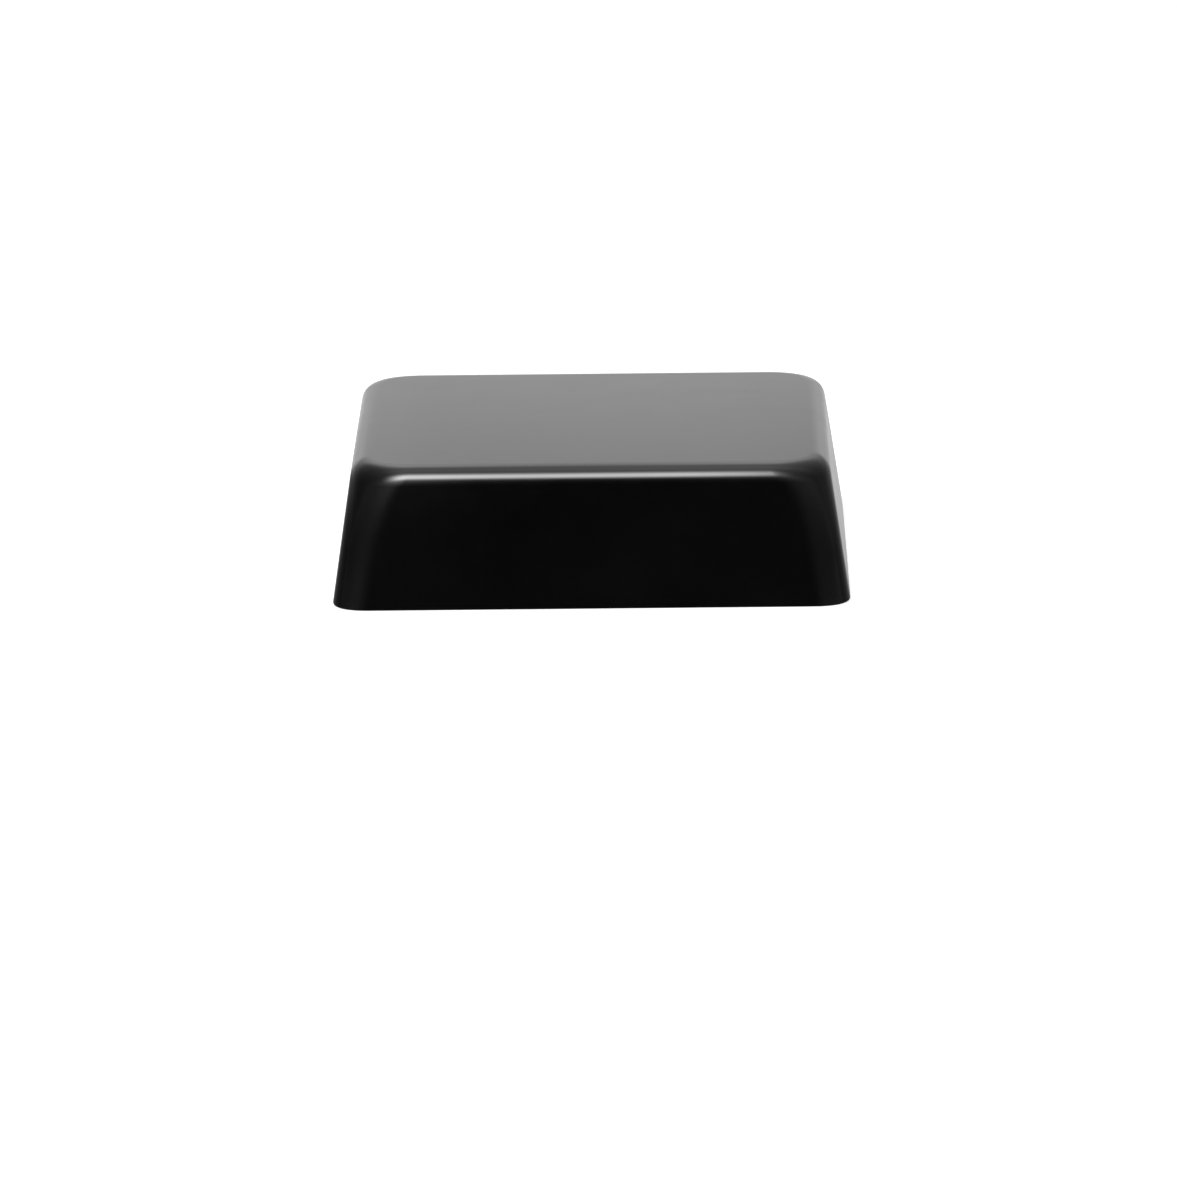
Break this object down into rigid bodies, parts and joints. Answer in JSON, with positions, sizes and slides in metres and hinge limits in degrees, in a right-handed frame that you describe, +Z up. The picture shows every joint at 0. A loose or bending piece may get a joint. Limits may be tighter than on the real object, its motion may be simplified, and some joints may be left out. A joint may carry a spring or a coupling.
{
  "type": "fence post cap",
  "caption": "Square hollow post cap with leaning sides, a flat top and rounded edges; sprung clips inside grip the post and fins stop its end.",
  "frame": {"origin": "centre of the square rim, in the rim's plane, which is the cap's lowest face", "axes": "+Z up through the flat top, away from the post; +X to the right and -Y to the front of the picture, square to the sides"},
  "size_m": [0.0974, 0.0974, 0.0265],
  "materials": {
    "shell": "gloss black moulding",
    "clip": "rolled spring steel strip",
    "screw": "bright zinc plated steel"
  },
  "bodies": {
    "root": {"cap_shell": "shell", "grip_clip_right": "clip", "grip_clip_back": "clip", "grip_clip_left": "clip", "grip_clip_front": "clip", "clip_screw_right": "screw", "clip_screw_back": "screw", "clip_screw_left": "screw", "clip_screw_front": "screw"}
  },
  "joints": []
}
